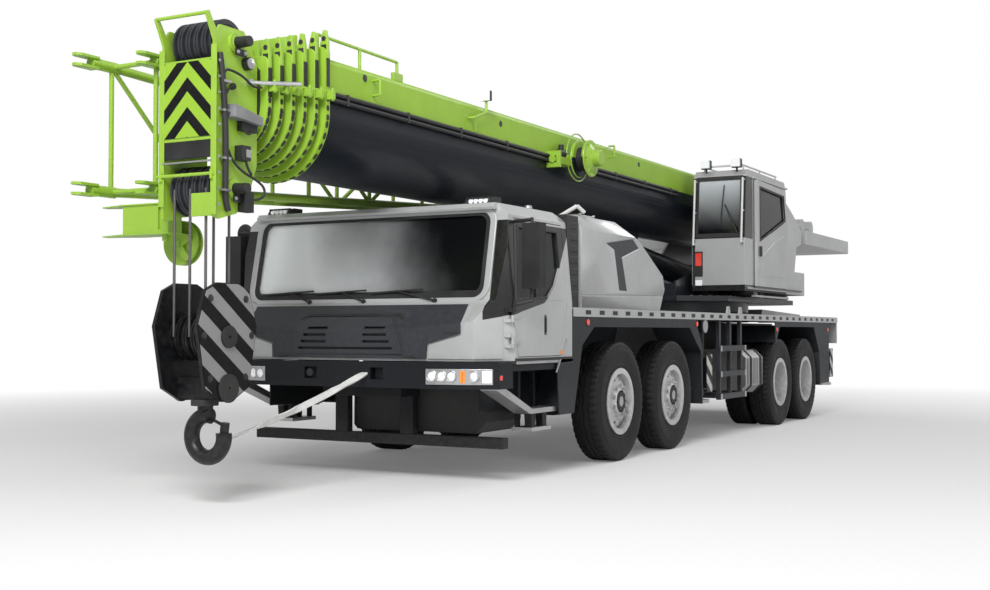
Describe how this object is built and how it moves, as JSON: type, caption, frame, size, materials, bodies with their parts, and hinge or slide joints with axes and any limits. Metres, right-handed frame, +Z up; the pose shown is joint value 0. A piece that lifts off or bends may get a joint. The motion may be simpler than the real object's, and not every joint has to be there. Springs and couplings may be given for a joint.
{
  "type": "mobile crane",
  "caption": "Truck crane parked for the road: silver cabs and hood, lime and charcoal telescopic boom laid over the cab, hook block tied to the bumper, lattice jib stowed alongside.",
  "frame": {"origin": "on the ground in the middle of the crane's length and width", "axes": "X forward, Y to the crane's left, Z up"},
  "size_m": [14.98, 3.51, 3.762],
  "materials": {
    "frame_grey": "satin",
    "silver_paint": "satin",
    "lime_paint": "gloss",
    "charcoal_paint": "satin",
    "window_glass": "clear",
    "tyre_rubber": "matt",
    "black_plastic": "matt",
    "lamp_lens": "clear",
    "seat_fabric": "matt",
    "engine_iron": "matt",
    "tank_aluminium": "brushed",
    "rope_steel": "oiled",
    "sling_webbing": "woven",
    "hook_grey": "satin"
  },
  "bodies": {
    "carrier": {"chassis_frame": "frame_grey", "deck": "silver_paint", "fenders": "frame_grey", "outrigger_boxes": "frame_grey", "cab_shell": "silver_paint", "cab_glass": "window_glass", "cab_front": "black_plastic", "bumper": "frame_grey", "headlamps": "lamp_lens", "cab_interior": "seat_fabric", "engine_hood": "silver_paint", "intake_column": "black_plastic", "engine_block": "engine_iron", "fuel_tank": "tank_aluminium", "side_racks": "frame_grey", "cab_steps": "silver_paint", "axles": "engine_iron", "hook_sling": "sling_webbing"},
    "superstructure": {"turntable": "charcoal_paint", "tail_frame": "silver_paint", "winches": "frame_grey", "operator_cab": "silver_paint", "operator_glass": "window_glass", "operator_covers": "silver_paint"},
    "operator_door": {"operator_door": "silver_paint"},
    "boom_base": {"boom_base": "lime_paint", "lattice_jib": "lime_paint"},
    "lift_barrel": {"lift_barrel": "charcoal_paint"},
    "lift_rod": {"lift_rod": "rope_steel"},
    "boom_section_2": {"boom_section_2": "lime_paint"},
    "boom_section_3": {"boom_section_3": "lime_paint"},
    "boom_section_4": {"boom_section_4": "lime_paint"},
    "boom_section_5": {"boom_section_5": "lime_paint"},
    "boom_section_6": {"boom_section_6": "lime_paint"},
    "boom_section_7": {"boom_section_7": "lime_paint", "head_sheaves": "black_plastic"},
    "hoist_ropes": {"hoist_ropes": "rope_steel"},
    "hook_block": {"hook_block": "hook_grey"},
    "knuckle_1_left": {"knuckle_1_left": "engine_iron"},
    "wheel_1_left": {"wheel_1_left": "tyre_rubber"},
    "knuckle_1_right": {"knuckle_1_right": "engine_iron"},
    "wheel_1_right": {"wheel_1_right": "tyre_rubber"},
    "knuckle_2_left": {"knuckle_2_left": "engine_iron"},
    "wheel_2_left": {"wheel_2_left": "tyre_rubber"},
    "knuckle_2_right": {"knuckle_2_right": "engine_iron"},
    "wheel_2_right": {"wheel_2_right": "tyre_rubber"},
    "wheel_3_left": {"wheel_3_left": "tyre_rubber"},
    "wheel_3_right": {"wheel_3_right": "tyre_rubber"},
    "wheel_4_left": {"wheel_4_left": "tyre_rubber"},
    "wheel_4_right": {"wheel_4_right": "tyre_rubber"},
    "cab_door_left": {"cab_door_left": "silver_paint"},
    "outrigger_beam_front_left": {"outrigger_beam_front_left": "frame_grey"},
    "outrigger_jack_front_left": {"outrigger_jack_front_left": "frame_grey"},
    "outrigger_beam_rear_left": {"outrigger_beam_rear_left": "frame_grey"},
    "outrigger_jack_rear_left": {"outrigger_jack_rear_left": "frame_grey"},
    "cab_door_right": {"cab_door_right": "silver_paint"},
    "outrigger_beam_front_right": {"outrigger_beam_front_right": "frame_grey"},
    "outrigger_jack_front_right": {"outrigger_jack_front_right": "frame_grey"},
    "outrigger_beam_rear_right": {"outrigger_beam_rear_right": "frame_grey"},
    "outrigger_jack_rear_right": {"outrigger_jack_rear_right": "frame_grey"}
  },
  "joints": [
    {"name": "slew", "type": "hinge", "parent": "carrier", "child": "superstructure", "pos_m": [-2.67, 0, 1.6], "axis": [0, 0, 1], "continuous": true},
    {"name": "operator_door_slide", "type": "slide", "parent": "superstructure", "child": "operator_door", "axis": [-1, 0, 0], "range_m": [0, 0.72]},
    {"name": "boom_lift", "type": "hinge", "parent": "superstructure", "child": "boom_base", "pos_m": [-5.77, 0, 3.08], "axis": [0, -1, 0], "range_deg": [0, 80]},
    {"name": "lift_swing", "type": "hinge", "parent": "superstructure", "child": "lift_barrel", "pos_m": [-4.22, 0, 2.07], "axis": [0, -1, 0], "range_deg": [0, 84.98]},
    {"name": "lift_stroke", "type": "slide", "parent": "lift_barrel", "child": "lift_rod", "axis": [0.9949, 0, 0.1009], "range_m": [0, 2.362]},
    {"name": "telescope_2", "type": "slide", "parent": "boom_base", "child": "boom_section_2", "axis": [1, 0, 0], "range_m": [0, 6.9]},
    {"name": "telescope_3", "type": "slide", "parent": "boom_section_2", "child": "boom_section_3", "axis": [1, 0, 0], "range_m": [0, 6.9]},
    {"name": "telescope_4", "type": "slide", "parent": "boom_section_3", "child": "boom_section_4", "axis": [1, 0, 0], "range_m": [0, 6.9]},
    {"name": "telescope_5", "type": "slide", "parent": "boom_section_4", "child": "boom_section_5", "axis": [1, 0, 0], "range_m": [0, 6.9]},
    {"name": "telescope_6", "type": "slide", "parent": "boom_section_5", "child": "boom_section_6", "axis": [1, 0, 0], "range_m": [0, 6.9]},
    {"name": "telescope_7", "type": "slide", "parent": "boom_section_6", "child": "boom_section_7", "axis": [1, 0, 0], "range_m": [0, 6.9]},
    {"name": "hook_hang", "type": "hinge", "parent": "boom_section_7", "child": "hoist_ropes", "pos_m": [7.17, 0, 2.41], "axis": [0, -1, 0], "range_deg": [-80, 0]},
    {"name": "hook_hoist", "type": "slide", "parent": "hoist_ropes", "child": "hook_block", "axis": [0, 0, 1], "range_m": [-0.25, 0.35]},
    {"name": "steer_1_left", "type": "hinge", "parent": "carrier", "child": "knuckle_1_left", "pos_m": [2.53, 1.1, 0.613], "axis": [0, 0, 1], "range_deg": [-33, 33]},
    {"name": "roll_1_left", "type": "hinge", "parent": "knuckle_1_left", "child": "wheel_1_left", "pos_m": [2.53, 1.313, 0.613], "axis": [0, 1, 0], "continuous": true},
    {"name": "steer_1_right", "type": "hinge", "parent": "carrier", "child": "knuckle_1_right", "pos_m": [2.53, -1.1, 0.613], "axis": [0, 0, 1], "range_deg": [-33, 33]},
    {"name": "roll_1_right", "type": "hinge", "parent": "knuckle_1_right", "child": "wheel_1_right", "pos_m": [2.53, -1.313, 0.613], "axis": [0, 1, 0], "continuous": true},
    {"name": "steer_2_left", "type": "hinge", "parent": "carrier", "child": "knuckle_2_left", "pos_m": [1.03, 1.1, 0.613], "axis": [0, 0, 1], "range_deg": [-25.4, 25.4]},
    {"name": "roll_2_left", "type": "hinge", "parent": "knuckle_2_left", "child": "wheel_2_left", "pos_m": [1.03, 1.313, 0.613], "axis": [0, 1, 0], "continuous": true},
    {"name": "steer_2_right", "type": "hinge", "parent": "carrier", "child": "knuckle_2_right", "pos_m": [1.03, -1.1, 0.613], "axis": [0, 0, 1], "range_deg": [-25.4, 25.4]},
    {"name": "roll_2_right", "type": "hinge", "parent": "knuckle_2_right", "child": "wheel_2_right", "pos_m": [1.03, -1.313, 0.613], "axis": [0, 1, 0], "continuous": true},
    {"name": "roll_3_left", "type": "hinge", "parent": "carrier", "child": "wheel_3_left", "pos_m": [-3.24, 1.313, 0.613], "axis": [0, 1, 0], "continuous": true},
    {"name": "roll_3_right", "type": "hinge", "parent": "carrier", "child": "wheel_3_right", "pos_m": [-3.24, -1.313, 0.613], "axis": [0, 1, 0], "continuous": true},
    {"name": "roll_4_left", "type": "hinge", "parent": "carrier", "child": "wheel_4_left", "pos_m": [-4.59, 1.313, 0.613], "axis": [0, 1, 0], "continuous": true},
    {"name": "roll_4_right", "type": "hinge", "parent": "carrier", "child": "wheel_4_right", "pos_m": [-4.59, -1.313, 0.613], "axis": [0, 1, 0], "continuous": true},
    {"name": "cab_door_left_swing", "type": "hinge", "parent": "carrier", "child": "cab_door_left", "pos_m": [4.962, 1.492, 1.7], "axis": [0, 0, -1], "range_deg": [0, 70]},
    {"name": "extend_front_left", "type": "slide", "parent": "carrier", "child": "outrigger_beam_front_left", "axis": [0, 1, 0], "range_m": [0, 1.9]},
    {"name": "jack_front_left", "type": "slide", "parent": "outrigger_beam_front_left", "child": "outrigger_jack_front_left", "axis": [0, 0, -1], "range_m": [0, 0.55]},
    {"name": "extend_rear_left", "type": "slide", "parent": "carrier", "child": "outrigger_beam_rear_left", "axis": [0, 1, 0], "range_m": [0, 1.9]},
    {"name": "jack_rear_left", "type": "slide", "parent": "outrigger_beam_rear_left", "child": "outrigger_jack_rear_left", "axis": [0, 0, -1], "range_m": [0, 0.55]},
    {"name": "cab_door_right_swing", "type": "hinge", "parent": "carrier", "child": "cab_door_right", "pos_m": [4.962, -1.492, 1.7], "axis": [0, 0, 1], "range_deg": [0, 70]},
    {"name": "extend_front_right", "type": "slide", "parent": "carrier", "child": "outrigger_beam_front_right", "axis": [0, -1, 0], "range_m": [0, 1.9]},
    {"name": "jack_front_right", "type": "slide", "parent": "outrigger_beam_front_right", "child": "outrigger_jack_front_right", "axis": [0, 0, -1], "range_m": [0, 0.55]},
    {"name": "extend_rear_right", "type": "slide", "parent": "carrier", "child": "outrigger_beam_rear_right", "axis": [0, -1, 0], "range_m": [0, 1.9]},
    {"name": "jack_rear_right", "type": "slide", "parent": "outrigger_beam_rear_right", "child": "outrigger_jack_rear_right", "axis": [0, 0, -1], "range_m": [0, 0.55]}
  ],
  "couplings": [
    {"joint": "lift_swing", "follows": "boom_lift", "ratio": 1.056},
    {"joint": "lift_stroke", "follows": "boom_lift", "m_per_rad": 1.6842},
    {"joint": "telescope_3", "follows": "telescope_2", "ratio": 1},
    {"joint": "telescope_4", "follows": "telescope_2", "ratio": 1},
    {"joint": "telescope_5", "follows": "telescope_2", "ratio": 1},
    {"joint": "telescope_6", "follows": "telescope_2", "ratio": 1},
    {"joint": "telescope_7", "follows": "telescope_2", "ratio": 1},
    {"joint": "hook_hang", "follows": "boom_lift", "ratio": -1},
    {"joint": "steer_1_right", "follows": "steer_1_left", "ratio": 1},
    {"joint": "steer_2_left", "follows": "steer_1_left", "ratio": 0.767},
    {"joint": "steer_2_right", "follows": "steer_1_left", "ratio": 0.767}
  ]
}
